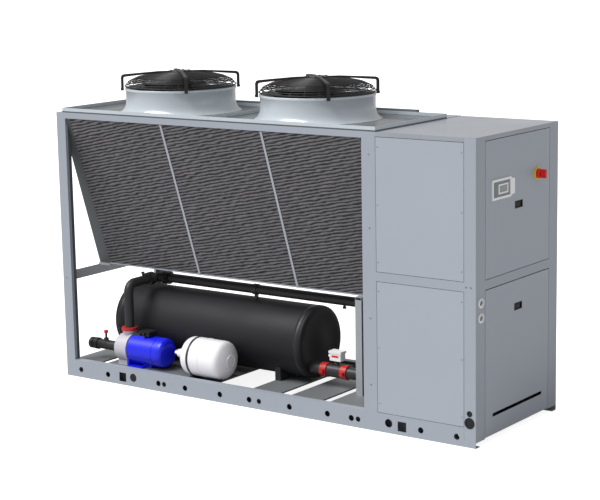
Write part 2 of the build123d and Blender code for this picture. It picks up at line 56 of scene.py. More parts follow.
# View, floor and light. The unit stands on a plain white studio floor under a broad soft lamp
# from the front left and an even white surround.
eye = Vector((6.797, -9.311, 3.119))
yaw, pitch, roll = radians(-36.045), radians(10.465), radians(-1.055)
ahead = Vector((sin(yaw) * cos(pitch), cos(yaw) * cos(pitch), -sin(pitch)))
level = Vector((cos(yaw), -sin(yaw), 0))
upright = level.cross(ahead)
side = cos(roll) * level + sin(roll) * upright
top = -sin(roll) * level + cos(roll) * upright
camera = bpy.data.objects.new("camera", bpy.data.cameras.new("camera"))
camera.matrix_world = Matrix.Translation(eye) @ Matrix((side, top, -ahead)).transposed().to_4x4()
camera.data.lens = 103.7
camera.data.sensor_width = 36
bpy.context.scene.collection.objects.link(camera)
bpy.context.scene.camera = camera
bpy.context.scene.view_settings.view_transform = "Standard"

white = (1, 1, 1, 1)
surround_light, surround_seen = 0.48, 1.0
world = bpy.data.worlds.new("surround")
bpy.context.scene.world = world
world.use_nodes = True
tree = world.node_tree
light_path = tree.nodes.new("ShaderNodeLightPath")
seen = tree.nodes.new("ShaderNodeMath")
seen.operation = "MAXIMUM"
strength = tree.nodes.new("ShaderNodeMapRange")
strength.inputs["To Min"].default_value = surround_light
strength.inputs["To Max"].default_value = surround_seen
tree.nodes["Background"].inputs["Color"].default_value = white
tree.links.new(light_path.outputs["Is Camera Ray"], seen.inputs[0])
tree.links.new(light_path.outputs["Is Transmission Ray"], seen.inputs[1])
tree.links.new(seen.outputs[0], strength.inputs["Value"])
tree.links.new(strength.outputs["Result"], tree.nodes["Background"].inputs["Strength"])

lamp_from = Vector((-0.335, -0.46, 0.82))
lamp = bpy.data.lights.new("soft_lamp", "SUN")
lamp.energy = 3.0
lamp.angle = radians(35)
soft_lamp = bpy.data.objects.new("soft_lamp", lamp)
soft_lamp.rotation_euler = lamp_from.to_track_quat("Z", "Y").to_euler()
bpy.context.scene.collection.objects.link(soft_lamp)

floor_reach, floor_glow = 60, 0.88
corners = [(-floor_reach, -floor_reach, 0), (floor_reach, -floor_reach, 0),
           (floor_reach, floor_reach, 0), (-floor_reach, floor_reach, 0)]
floor_mesh = bpy.data.meshes.new("studio_floor")
floor_mesh.from_pydata(corners, [], [(0, 1, 2, 3)])
floor = bpy.data.objects.new("studio_floor", floor_mesh)
floor.location.z = cad_box[0].z
bpy.context.scene.collection.objects.link(floor)
paper = bpy.data.materials.new("white_floor")
paper.use_nodes = True
tree = paper.node_tree
shader = tree.nodes["Principled BSDF"]
shader.inputs["Roughness"].default_value = 0.9
shader.inputs["Specular IOR Level"].default_value = 0.1
shader.inputs["Base Color"].default_value = (0.52, 0.52, 0.53, 1)
shader.inputs["Emission Color"].default_value = white
light_path = tree.nodes.new("ShaderNodeLightPath")
lift = tree.nodes.new("ShaderNodeMapRange")
lift.inputs["To Max"].default_value = floor_glow
tree.links.new(light_path.outputs["Is Camera Ray"], lift.inputs["Value"])
tree.links.new(lift.outputs["Result"], shader.inputs["Emission Strength"])
floor_mesh.materials.append(paper)


# Painted steel: the frame, panels, doors and roof are folded galvanised sheet with a baked
# light grey polyester coat, which has a fine orange-peel grain and a slight cloudiness.
coat_grain = bpy.data.node_groups.new("coat_grain", "ShaderNodeTree")
for name, kind, start in (("Colour", "NodeSocketColor", (0.5, 0.5, 0.5, 1)),
                          ("Scale", "NodeSocketFloat", 400.0),
                          ("Speckle", "NodeSocketFloat", 0.1),
                          ("Cloud", "NodeSocketFloat", 0.08),
                          ("Roughness", "NodeSocketFloat", 0.4)):
    socket = coat_grain.interface.new_socket(name, in_out="INPUT", socket_type=kind)
    socket.default_value = start
for name, kind in (("Colour", "NodeSocketColor"), ("Roughness", "NodeSocketFloat"),
                   ("Height", "NodeSocketFloat")):
    coat_grain.interface.new_socket(name, in_out="OUTPUT", socket_type=kind)
given = coat_grain.nodes.new("NodeGroupInput")
result = coat_grain.nodes.new("NodeGroupOutput")
where = coat_grain.nodes.new("ShaderNodeTexCoord")
fine = coat_grain.nodes.new("ShaderNodeTexNoise")
fine.inputs["Detail"].default_value = 3
cloud = coat_grain.nodes.new("ShaderNodeTexNoise")
cloud.inputs["Scale"].default_value = 2.3
cloud.inputs["Detail"].default_value = 5
for noise in (fine, cloud):
    coat_grain.links.new(where.outputs["Object"], noise.inputs["Vector"])
coat_grain.links.new(given.outputs["Scale"], fine.inputs["Scale"])


def reckon(tree, kind, first, second=0.0):
    """The output of one arithmetic node, fed by two sockets or numbers."""
    node = tree.nodes.new("ShaderNodeMath")
    node.operation = kind
    for slot, value in zip(node.inputs, (first, second)):
        if isinstance(value, (int, float)):
            slot.default_value = value
        else:
            tree.links.new(value, slot)
    return node.outputs[0]


def about_zero(noise, amount):
    """A noise's value moved from around a half to around zero, times an amount."""
    centred = reckon(coat_grain, "SUBTRACT", noise.outputs["Fac"], 0.5)
    return reckon(coat_grain, "MULTIPLY", centred, given.outputs[amount])


speck = about_zero(fine, "Speckle")
drift = about_zero(cloud, "Cloud")
shade = reckon(coat_grain, "ADD", reckon(coat_grain, "ADD", speck, drift), 1.0)
scaled = coat_grain.nodes.new("ShaderNodeVectorMath")
scaled.operation = "SCALE"
coat_grain.links.new(given.outputs["Colour"], scaled.inputs[0])
coat_grain.links.new(shade, scaled.inputs["Scale"])
coat_grain.links.new(scaled.outputs[0], result.inputs["Colour"])
rough = reckon(coat_grain, "ADD", given.outputs["Roughness"], reckon(coat_grain, "ADD", speck, drift))
coat_grain.links.new(rough, result.inputs["Roughness"])
coat_grain.links.new(fine.outputs["Fac"], result.inputs["Height"])


def finish(name, colour, roughness, metallic=0.0, scale=400.0, speckle=0.1, cloud=0.08, bump=0.15,
           depth=0.0004, coat=0.0):
    """A material whose colour, roughness and relief come from the coat grain."""
    made = bpy.data.materials.new(name)
    made.use_nodes = True
    tree = made.node_tree
    shader = tree.nodes["Principled BSDF"]
    grain = tree.nodes.new("ShaderNodeGroup")
    grain.name = "grain"
    grain.node_tree = coat_grain
    grain.inputs["Colour"].default_value = (*colour, 1)
    grain.inputs["Scale"].default_value = scale
    grain.inputs["Speckle"].default_value = speckle
    grain.inputs["Cloud"].default_value = cloud
    grain.inputs["Roughness"].default_value = roughness
    relief = tree.nodes.new("ShaderNodeBump")
    relief.inputs["Strength"].default_value = bump
    relief.inputs["Distance"].default_value = depth
    shader.inputs["Metallic"].default_value = metallic
    shader.inputs["Coat Weight"].default_value = coat
    tree.links.new(grain.outputs["Colour"], shader.inputs["Base Color"])
    tree.links.new(grain.outputs["Roughness"], shader.inputs["Roughness"])
    tree.links.new(grain.outputs["Height"], relief.inputs["Height"])
    tree.links.new(relief.outputs["Normal"], shader.inputs["Normal"])
    return made


def dress(material, *names):
    """Give CAD nodes their finish."""
    for name in names:
        mesh = nodes[name].data
        mesh.materials.clear()
        mesh.materials.append(material)


smooth_coat = dict(scale=900, speckle=0.05, cloud=0.05, bump=0.05)
panel_grey = finish("panel_grey", (0.395, 0.43, 0.485), 0.42, **smooth_coat)
dress(panel_grey, "panel_front_upper", "panel_front_lower", "panels_rear", "electrical_door",
      "compressor_door")
frame_grey = finish("frame_grey", (0.365, 0.40, 0.45), 0.40, **smooth_coat)
dress(frame_grey, "base_rail_front", "base_rail_rear", "posts_left", "posts_middle", "posts_right",
      "top_beams_long", "top_cross_beams", "cabinet_belt_rails")
roof_grey = finish("roof_grey", (0.37, 0.39, 0.43), 0.28, metallic=0.2, scale=700, speckle=0.05,
                   cloud=0.45, bump=0.05)
dress(roof_grey, "cabinet_roof", "rear_roof_strip")


# Fixings: zinc-plated domed screws with a recess in the head hold the posts, the panels and
# the belt rails to the frame.
def built(name, points, faces, material, smooth=False, body="unit"):
    """Link a new mesh piece that rides on one body and takes its finish from one slot."""
    mesh = bpy.data.meshes.new(name)
    mesh.from_pydata([tuple(point) for point in points], [], faces)
    mesh.materials.append(material)
    mesh.validate()
    if smooth:
        mesh.polygons.foreach_set("use_smooth", [True] * len(mesh.polygons))
    piece = bpy.data.objects.new(name, mesh)
    bpy.context.scene.collection.objects.link(piece)
    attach(piece, body)
    return piece


def spun(points, faces, centre, axis, profile, sides=24, closed=False):
    """Add a turned form, given as (radius, distance along the axis), to a mesh in the making."""
    axis = Vector(axis).normalized()
    across = axis.orthogonal().normalized()
    beside = axis.cross(across)
    start = len(points)
    for step in range(sides):
        turn = 2 * pi * step / sides
        out = across * cos(turn) + beside * sin(turn)
        for radius, along in profile:
            points.append(Vector(centre) + axis * along + out * radius)
    rows = len(profile)
    for step in range(sides):
        here = start + step * rows
        there = start + (step + 1) % sides * rows
        for row in range(rows if closed else rows - 1):
            after = (row + 1) % rows
            faces.append((here + row, there + row, there + after, here + after))


box_sides = ((0, 1, 3, 2), (4, 6, 7, 5), (0, 4, 5, 1), (2, 3, 7, 6), (0, 2, 6, 4), (1, 5, 7, 3))
forward, backward, rightward, upward = (0, -1, 0), (0, 1, 0), (1, 0, 0), (0, 0, 1)
plated = finish("plated_screw", (0.30, 0.32, 0.34), 0.4, metallic=0.6, scale=900, speckle=0.1)
right_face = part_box("electrical_door")[1].x
front_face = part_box("posts_middle")[0].y
middle_post_x, left_post_x = 0.935, -1.66
screw_head = ((0.0, 0.0022), (0.0015, 0.0012), (0.0055, 0.0018), (0.0075, 0.0003), (0.0075, -0.001))
panel_head = [(radius * 0.7, along * 0.8) for radius, along in screw_head]
points, faces = [], []
for z in (0.728, 0.30, 1.30, 1.76):
    spun(points, faces, (middle_post_x, front_face, z), forward, screw_head, 12)
for z in (0.728, 1.76):
    spun(points, faces, (middle_post_x, -front_face, z), backward, screw_head, 12)
for y, outward in ((front_face, forward), (-front_face, backward)):
    spun(points, faces, (left_post_x, y, 0.72), outward, screw_head, 12)
for x in (1.625, 1.660):
    spun(points, faces, (x, front_face, 0.998), forward, screw_head, 12)
screw_in, first_up = 0.013, 0.06
for name in ("panel_front_upper", "panel_front_lower"):
    panel_low, panel_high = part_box(name)
    for x in (panel_low.x + screw_in, panel_high.x - screw_in):
        for step in range(3):
            z = panel_low.z + first_up + (panel_high.z - panel_low.z - 2 * first_up) * step / 2
            spun(points, faces, (x, front_face, z), forward, panel_head, 10)
            spun(points, faces, (x, -front_face, z), backward, panel_head, 10)
built("frame_screws", points, faces, plated, smooth=True)


# Left posts: a stepped inner flange, folded from the post's own sheet, stiffens each post and
# closes it towards the coils. The recessed step is coloured darker than the flange as painted shade.
def slab_on(points, faces, x0, x1, y0, y1, z0, z1):
    """Add a plain plate between three pairs of planes."""
    start = len(points)
    points.extend(Vector((x, y, z)) for x in (x0, x1) for y in (y0, y1) for z in (z0, z1))
    for side_face in box_sides:
        faces.append(tuple(start + corner for corner in side_face))


# Painted shade: a near-black grey for recesses that lie in shadow.
shade_grey = finish("flange_shade", (0.10, 0.11, 0.12), 0.5, **smooth_coat)
post_low, post_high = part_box("posts_left")
flange_sheet = 0.0015
for name, material, out_x, near, far in (("post_flanges", frame_grey, 0.0785, 0.003, 0.026),
                                         ("post_steps", shade_grey, 0.0705, 0.026, 0.062)):
    points, faces = [], []
    x = post_low.x + out_x
    for y0, y1 in ((post_low.y + near, post_low.y + far), (post_high.y - far, post_high.y - near)):
        slab_on(points, faces, x - flange_sheet, x, y0, y1, post_low.z, post_high.z)
    built(name, points, faces, material)

# Base rails: a riveted sheet closes the channels on their inner side, and a short sleeve welded
# behind each lifting hole takes the lifting bar.
rail_low, rail_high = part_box("base_rail_front")
lifting_xs, lifting_z = (0.135, 3.252), 0.056
lifting_sleeve = ((0.0202, 0), (0.0202, 0.050), (0.0225, 0.050), (0.0225, 0))
web_in, skin_in = 0.0045, 0.0042
closer_z = rail_low.z + skin_in, rail_high.z - skin_in
points, faces = [], []
for sign in (-1, 1):
    closer_y = sorted((sign * (-rail_high.y + 0.0005), sign * (-rail_high.y - 0.002)))
    for x0, x1 in ((0.004, 0.108), (0.162, 3.225), (3.279, 3.306)):
        slab_on(points, faces, rail_low.x + x0, rail_low.x + x1, *closer_y, *closer_z)
    for x in lifting_xs:
        mouth = (rail_low.x + x, sign * (-rail_low.y - web_in), lifting_z)
        spun(points, faces, mouth, (0, -sign, 0), lifting_sleeve, 32, True)
# The closers and sleeves are coloured near black as painted shade inside the rail channels and lifting holes.
built("rail_closers", points, faces, shade_grey)

# Base trays: folded galvanised sheet laid across between the rails, with wide gaps left open.
# They are shallow under the water pack and deep under the cabinet, with a C section at the end.
spangle = dict(scale=90, speckle=0.25, cloud=0.2, bump=0.05)
zinc = finish("dull_zinc", (0.215, 0.227, 0.24), 0.48, metallic=0.3, **spangle)
tray_low, tray_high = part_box("base_cross_members")
tray_y = tray_low.y, tray_high.y
tray_top, tray_sheet, shallow_lip, deep_lip, wide_tray = 0.104, 0.003, 0.010, 0.084, 0.5
points, faces = [], []
for x0, x1 in ((0, 0.060), (0.062, 0.235), (0.293, 0.679), (0.683, 0.980), (0.984, 1.306),
               (1.603, 1.835), (1.923, 2.172), (2.234, 2.500), (2.560, 3.304)):
    x0, x1 = rail_low.x + x0, rail_low.x + x1
    lip = deep_lip if x1 - x0 > wide_tray else shallow_lip
    slab_on(points, faces, x0, x1, *tray_y, tray_top - tray_sheet, tray_top)
    for x in (x0, x1 - tray_sheet):
        slab_on(points, faces, x, x + tray_sheet, *tray_y, tray_top - lip, tray_top - tray_sheet)
end_x, end_depth, end_low, end_high = rail_low.x + 3.316, 0.0405, 0.037, 0.119
slab_on(points, faces, end_x, end_x + tray_sheet, *tray_y, end_low, end_high)
for z in (end_low, end_high - tray_sheet):
    slab_on(points, faces, end_x + tray_sheet, end_x + end_depth, *tray_y, z, z + tray_sheet)
trays = built("base_trays", points, faces, zinc)
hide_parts("base_cross_members")

# Bare galvanised sheet: the middle wall, the coils' end flanges and the crossbars that carry
# them keep their zinc, dull grey with a faint spangle and brighter on the crossbars.
dress(zinc, "cabinet_divider")
flange_zinc = finish("flange_zinc", (0.115, 0.125, 0.13), 0.48, metallic=0.2, **spangle)
dress(flange_zinc, "coil_frames")
zinc_bright = finish("bright_zinc", (0.42, 0.44, 0.47), 0.42, metallic=0.3, scale=90, speckle=0.2,
                     cloud=0.15, bump=0.05)
dress(zinc_bright, "coil_supports")

# Latches, gauge needles and cable grommets: moulded in black plastic. The latches have a
# lifting paddle in a dish that closes up to the door's skin.
moulded_black = finish("latch_black", (0.006, 0.006, 0.006), 0.6, scale=600, speckle=0.2)
dress(moulded_black, "latch_dish_upper", "latch_dish_lower", "latch_paddle_upper",
      "latch_paddle_lower", "cable_grommets", "gauge_needle_high", "gauge_needle_low")

# Main switch: a yellow plate with a raised collar and a red rotary knob, fixed to the upper
# door. The suction valve's handle has the same red plastic.
red_plastic = finish("red_plastic", (0.75, 0.015, 0.01), 0.3, scale=500, speckle=0.05)
dress(red_plastic, "main_switch_knob", "suction_valve_handle")
yellow = finish("yellow_plastic", (0.85, 0.60, 0.02), 0.35, scale=500, speckle=0.05)
dress(yellow, "main_switch_plate")
plate_low, plate_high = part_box("main_switch_plate")
switch_middle = (right_face, (plate_low.y + plate_high.y) / 2, (plate_low.z + plate_high.z) / 2)
collar = ((0.0362, 0), (0.043, 0), (0.043, 0.004), (0.041, 0.006), (0.0362, 0.006))
points, faces = [], []
spun(points, faces, switch_middle, rightward, collar, 40, True)
built("switch_collar", points, faces, yellow, smooth=True, body="electrical_door")

# Pressure gauges: a pale dial with a dark scale behind each needle, in a plain case set in the
# right corner post.
dial = finish("dial_white", (0.93, 0.93, 0.92), 0.3, scale=300, speckle=0.03)
dress(dial, "gauge_cases")
ink = finish("dial_ink", (0.10, 0.10, 0.11), 0.5, scale=300, speckle=0.05)
gauge_low, gauge_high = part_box("gauge_cases")
gauge_radius = 0.0315
gauge_y = (gauge_low.y + gauge_high.y) / 2
dial_x = right_face + 0.0032
dial_ring = ((0.008, 0), (0.008, 0.0003), (0.0145, 0.0003), (0.0145, 0))
mark_from, mark_to, mark_count, mark_turn, first_mark = 0.0205, 0.025, 28, 10, -135
points, faces = [], []
for centre_z in (gauge_low.z + gauge_radius, gauge_high.z - gauge_radius):
    spun(points, faces, (dial_x, gauge_y, centre_z), rightward, dial_ring, 28)
    for step in range(mark_count):
        turn = radians(first_mark + mark_turn * step)
        out = Vector((0, sin(turn), cos(turn)))
        across = Vector((0, cos(turn), -sin(turn))) * (0.0007 if step % 3 else 0.0012)
        start = len(points)
        for radius in (mark_from, mark_to):
            for sign in (-1, 1):
                points.append(Vector((dial_x + 0.0002, gauge_y, centre_z)) + out * radius + across * sign)
        faces.append((start, start + 1, start + 3, start + 2))
built("dial_marks", points, faces, ink)

# Controller: a white moulded housing on the upper door. Its sunk face has a grey foil with a
# column of keys and a display under a clear window.
switch_white = finish("switch_white", (0.93, 0.93, 0.93), 0.35, scale=500, speckle=0.03)
dress(switch_white, "flow_switch", "display_housing")
screen_grey = finish("screen_grey", (0.90, 0.92, 0.92), 0.3, scale=300, speckle=0.02)
dress(screen_grey, "display_screen")
foil_grey = finish("foil_grey", (0.22, 0.24, 0.25), 0.4, scale=600, speckle=0.03)
glass_dark = finish("display_glass", (0.30, 0.34, 0.34), 0.12, scale=300, speckle=0.02)
window_low, window_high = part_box("display_screen")
foil_x, key_half, key_pitch = window_low.x, 0.006, 0.019
points, faces = [], []
slab_on(points, faces, foil_x, foil_x + 0.0008, window_low.y - 0.063, window_high.y + 0.020,
        window_low.z - 0.015, window_high.z + 0.019)
for row in range(4):
    key_z = window_low.z + key_pitch * row
    slab_on(points, faces, foil_x, foil_x + 0.0018, window_low.y - 0.048, window_low.y - 0.030,
            key_z - key_half, key_z + key_half)
built("controller_foil", points, faces, foil_grey, body="electrical_door")
rim_y, rim_z = 0.013, 0.009
points, faces = [], []
slab_on(points, faces, window_high.x, window_high.x + 0.0004, window_low.y + rim_y,
        window_high.y - rim_y, window_low.z + rim_z, window_high.z - rim_z)
built("display_window", points, faces, glass_dark, body="electrical_door")


# Fan deck: each fan stands on its own shallow tray with a drawn nozzle, straight with a rolled
# bead at its mouth and flared at its foot. The nozzle is smooth painted, the tray's floor bare; the
# floor, the nozzle's foot and the foot of the lips are coloured near black as painted shade.
def height_band(material, low_z, high_z, colour):
    """Repaint the stretch of a material between two levels, as where a second piece is fixed on, and to lay
    painted shade on the fan deck's floor.
    """
    tree = material.node_tree
    shader = tree.nodes["Principled BSDF"]
    where = tree.nodes.new("ShaderNodeTexCoord")
    parts = tree.nodes.new("ShaderNodeSeparateXYZ")
    tree.links.new(where.outputs["Object"], parts.inputs[0])
    above = reckon(tree, "GREATER_THAN", parts.outputs["Z"], low_z)
    below = reckon(tree, "LESS_THAN", parts.outputs["Z"], high_z)
    swap = tree.nodes.new("ShaderNodeMix")
    swap.data_type = "RGBA"
    tree.links.new(reckon(tree, "MULTIPLY", above, below), swap.inputs["Factor"])
    tree.links.new(shader.inputs["Base Color"].links[0].from_socket, swap.inputs[6])
    swap.inputs[7].default_value = (*colour, 1)
    tree.links.new(swap.outputs[2], shader.inputs["Base Color"])


nozzle = finish("nozzle_grey", (0.58, 0.635, 0.68), 0.26, metallic=0.1, scale=900, speckle=0.04,
                cloud=0.1, bump=0.04, coat=0.3)
lip_low, lip_high, lip_sheet = 1.900, 1.932, 0.002
floor_low, floor_high = 1.9055, 1.9085
# Painted shade: the band from the foot of the lips up past the tray's floor is coloured near black.
height_band(nozzle, lip_low, floor_high + 0.001, (0.10, 0.11, 0.118))
foot_radius, flare_start, hole_radius = 0.432, 1.985, 0.4305
bead = ((0.380, 2.053), (0.384, 2.057), (0.384, 2.071), (0.381, 2.075), (0.377, 2.075))
flare = [radians(7.5 * step) for step in range(13)]
outside = [(foot_radius - 0.052 * cos(turn), flare_start - 0.077 * sin(turn)) for turn in flare]
inside = [(foot_radius - 0.055 * cos(turn), flare_start - 0.080 * sin(turn)) for turn in flare]
nozzle_wall = [*reversed(outside), *bead, *inside]
nozzle_sides, floor_steps = 120, 48
for name in ("left", "right"):
    deck_low, deck_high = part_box("fan_plate_" + name)
    motor_low, motor_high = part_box("fan_motor_" + name)
    centre = Vector(((motor_low.x + motor_high.x) / 2, (deck_low.y + deck_high.y) / 2, 0))
    points, faces = [], []
    spun(points, faces, centre, upward, nozzle_wall, nozzle_sides, True)
    y_limit = (deck_high.y - deck_low.y) / 2 - 0.0022
    for point in points:
        point.y = max(centre.y - y_limit, min(centre.y + y_limit, point.y))
    for y in (deck_low.y, deck_high.y - lip_sheet):
        slab_on(points, faces, deck_low.x, deck_high.x, y, y + lip_sheet, lip_low, lip_high)
    for x in (deck_low.x, deck_high.x - lip_sheet):
        slab_on(points, faces, x, x + lip_sheet, deck_low.y + lip_sheet, deck_high.y - lip_sheet,
                lip_low, lip_high)
    for sign in (-1, 1):
        edge = (deck_low.x + lip_sheet if sign < 0 else deck_high.x - lip_sheet) - centre.x
        widest = y_limit / hole_radius
        start = len(points)
        for step in range(floor_steps + 1):
            bend = asin(widest * (2 * step / floor_steps - 1))
            y = centre.y + hole_radius * sin(bend)
            for x in (sign * hole_radius * cos(bend), edge):
                for z in (floor_low, floor_high):
                    points.append(Vector((centre.x + x, y, z)))
        for step in range(floor_steps):
            here, there = start + step * 4, start + step * 4 + 4
            faces.extend([(here + 1, here + 3, there + 3, there + 1), (here, there, there + 2, here + 2),
                          (here, here + 1, there + 1, there), (here + 2, there + 2, there + 3, here + 3)])
        for here in (start, start + 4 * floor_steps):
            faces.append((here, here + 1, here + 3, here + 2))
    deck_piece = built("fan_deck_" + name, points, faces, nozzle)
    rounded = nozzle_sides * len(nozzle_wall)
    flat_or_smooth = [index < rounded for index in range(len(deck_piece.data.polygons))]
    deck_piece.data.polygons.foreach_set("use_smooth", flat_or_smooth)
    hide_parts("fan_plate_" + name)

# Cable trunking: a closed sheet-metal channel that runs along the rear of the deck and takes the
# fans' leads. Its dark colour is painted shade, the shadow that the nozzles cast behind them.
trunking = finish("trunking_painted_shade", (0.15, 0.165, 0.185), 0.5, scale=500, speckle=0.1)
dress(trunking, "fan_cable_trunking")

# Fans: black powder-coated motors with moulded blades on their hubs. The compressors and the
# receiver have the same black coat.
motor_black = finish("motor_black", (0.02, 0.02, 0.02), 0.45, scale=300, speckle=0.2, bump=0.2)
dress(motor_black, "fan_motor_left", "fan_motor_right", "compressors", "liquid_receiver")
blade_black = finish("blade_black", (0.025, 0.025, 0.027), 0.38, scale=500, speckle=0.15)
dress(blade_black, "fan_impeller_left", "fan_impeller_right")


# Guards: round wires welded in close rings over spokes, on four bent flat bars that stand on
# the nozzle's collar and carry the motor's plate; all black powder coat.
def wire(points, faces, path, radius, sides=6, closed=False):
    """Add a round wire along a path of points to a mesh in the making."""
    start = len(points)
    count = len(path)
    for index, place in enumerate(path):
        before = path[index - 1] if index or closed else place
        after = path[(index + 1) % count] if index < count - 1 or closed else place
        run = (after - before).normalized()
        aside = run.cross(Vector(upward))
        aside = run.orthogonal().normalized() if aside.length < 0.001 else aside.normalized()
        above = aside.cross(run)
        for step in range(sides):
            turn = 2 * pi * step / sides
            points.append(place + (aside * cos(turn) + above * sin(turn)) * radius)
    for index in range(count if closed else count - 1):
        here = start + index * sides
        there = start + (index + 1) % count * sides
        for step in range(sides):
            after = (step + 1) % sides
            faces.append((here + step, here + after, there + after, there + step))


def around(centre, radius, sides, drop=0.0):
    """Points of a level circle, set down by a drop."""
    turns = [2 * pi * step / sides for step in range(sides)]
    return [centre + Vector((cos(turn) * radius, sin(turn) * radius, -drop)) for turn in turns]


dome = ((0.384, 0.092), (0.360, 0.062), (0.300, 0.035), (0.230, 0.020), (0.160, 0.009), (0.075, 0.003))


def dome_drop(radius):
    """How far the guard's wires lie under the middle plate at one radius."""
    for (far, deep), (near, shallow) in zip(dome, dome[1:]):
        if radius >= near:
            return shallow + (deep - shallow) * (radius - near) / (far - near)
    return dome[-1][1]


guard_black = finish("guard_black", (0.012, 0.012, 0.013), 0.4, scale=700, speckle=0.2, bump=0.1)
plate_down, outer_ring, inner_ring, ring_pitch = 0.0105, 0.384, 0.09, 0.0112
rim_wire, ring_wire, spoke_wire, spoke_under = 0.004, 0.0032, 0.0025, 0.004
middle_plate = ((0, -0.004), (0.083, -0.004), (0.085, -0.002), (0.085, 0.0025), (0.083, 0.0045), (0, 0.0045))
bar_outer = ((0.411, -0.121), (0.411, -0.030), (0.404, -0.016), (0.390, -0.010), (0.150, 0.0045),
             (0.070, 0.0045))
bar_inner = ((0.393, -0.121), (0.393, -0.036), (0.389, -0.030), (0.380, -0.027), (0.150, -0.006),
             (0.070, -0.005))
bolt_circle, bar_half_width = 0.066, 0.011
for name in ("left", "right"):
    corner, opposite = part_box("fan_guard_" + name)
    centre = Vector(((corner.x + opposite.x) / 2, (corner.y + opposite.y) / 2, opposite.z - plate_down))
    points, faces = [], []
    radius = outer_ring
    while radius > inner_ring:
        ring = around(centre, radius, 64, dome_drop(radius))
        wire(points, faces, ring, rim_wire if radius == outer_ring else ring_wire, 6, True)
        radius -= ring_pitch
    for step in range(24):
        turn = radians(7.5 + 15 * step)
        spoke = [centre + Vector((cos(turn) * r, sin(turn) * r, -d - spoke_under)) for r, d in dome]
        wire(points, faces, spoke, spoke_wire)
    built("guard_wires_" + name, points, faces, guard_black, smooth=True)
    points, faces = [], []
    spun(points, faces, centre, upward, middle_plate, 40)
    for step in range(8):
        turn = radians(22.5 + 45 * step)
        bolt = centre + Vector((cos(turn) * bolt_circle, sin(turn) * bolt_circle, 0.0045))
        spun(points, faces, bolt, upward, ((0.0065, 0), (0.0065, 0.004), (0, 0.004)), 6)
    for step in range(4):
        turn = radians(45 + 90 * step)
        out = Vector((cos(turn), sin(turn), 0))
        aside = Vector((-sin(turn), cos(turn), 0)) * bar_half_width
        start = len(points)
        for (r0, z0), (r1, z1) in zip(bar_outer, bar_inner):
            for sign in (-1, 1):
                points.append(centre + out * r0 + Vector((0, 0, z0)) + aside * sign)
                points.append(centre + out * r1 + Vector((0, 0, z1)) + aside * sign)
        last = start + 4 * len(bar_outer) - 4
        for here in range(start, last, 4):
            there = here + 4
            faces.extend([(here, here + 2, there + 2, there), (here + 3, here + 1, there + 1, there + 3),
                          (here + 1, here, there, there + 1), (here + 2, here + 3, there + 3, there + 2)])
        faces.append((start, start + 1, start + 3, start + 2))
        faces.append((last, last + 2, last + 3, last + 1))
        leg_bolt = centre + out * 0.411 + Vector((0, 0, -0.112))
        spun(points, faces, leg_bolt, out, ((0.007, 0), (0.007, 0.004), (0, 0.004)), 6)
    guard_piece = built("guard_frame_" + name, points, faces, guard_black)
    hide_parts("fan_guard_" + name)

# Coils: aluminium fins pressed with rippled rows, standing close together behind the face. The
# gaps between the rows are coloured near black as painted shade. The rows rise a little along the coil.
row_pitch, row_rise, down_slope = 0.0235, 0.22, 1.058
fin_rows = bpy.data.node_groups.new("fin_rows", "ShaderNodeTree")
for name, start in (("Pitch", row_pitch), ("Rise", row_rise), ("Wobble", 0.024)):
    socket = fin_rows.interface.new_socket(name, in_out="INPUT", socket_type="NodeSocketFloat")
    socket.default_value = start
fin_rows.interface.new_socket("Crest", in_out="OUTPUT", socket_type="NodeSocketFloat")
given = fin_rows.nodes.new("NodeGroupInput")
result = fin_rows.nodes.new("NodeGroupOutput")
where = fin_rows.nodes.new("ShaderNodeTexCoord")
parts = fin_rows.nodes.new("ShaderNodeSeparateXYZ")
fin_rows.links.new(where.outputs["Object"], parts.inputs[0])
stretch = fin_rows.nodes.new("ShaderNodeMapping")
stretch.inputs["Scale"].default_value = (11, 11, 46)
fin_rows.links.new(where.outputs["Object"], stretch.inputs["Vector"])
bend = fin_rows.nodes.new("ShaderNodeTexNoise")
bend.inputs["Scale"].default_value = 1.0
bend.inputs["Detail"].default_value = 2
fin_rows.links.new(stretch.outputs["Vector"], bend.inputs["Vector"])
rise = reckon(fin_rows, "MULTIPLY", parts.outputs["X"], given.outputs["Rise"])
run = reckon(fin_rows, "SUBTRACT", reckon(fin_rows, "MULTIPLY", parts.outputs["Z"], down_slope), rise)
centred = reckon(fin_rows, "SUBTRACT", bend.outputs["Fac"], 0.5)
wander = reckon(fin_rows, "MULTIPLY", centred, given.outputs["Wobble"])
turns = reckon(fin_rows, "DIVIDE", reckon(fin_rows, "ADD", run, wander), given.outputs["Pitch"])
wave = reckon(fin_rows, "SINE", reckon(fin_rows, "MULTIPLY", turns, 2 * pi))
crest = reckon(fin_rows, "ADD", reckon(fin_rows, "MULTIPLY", wave, 0.5), 0.5)
fin_rows.links.new(crest, result.inputs["Crest"])

# Painted shade: the troughs between the fin rows are mixed towards near black.
painted_gap_shade = (0.008, 0.008, 0.010, 1)
fin_metal = finish("fin_metal", (0.215, 0.205, 0.212), 0.55, metallic=0.15, scale=120, speckle=0.5, cloud=0.3)
tree = fin_metal.node_tree
shader = tree.nodes["Principled BSDF"]
rows = tree.nodes.new("ShaderNodeGroup")
rows.node_tree = fin_rows
mix = tree.nodes.new("ShaderNodeMix")
mix.data_type = "RGBA"
mix.inputs[6].default_value = painted_gap_shade
tree.links.new(rows.outputs["Crest"], mix.inputs["Factor"])
tree.links.new(tree.nodes["grain"].outputs["Colour"], mix.inputs[7])
tree.links.new(mix.outputs[2], shader.inputs["Base Color"])
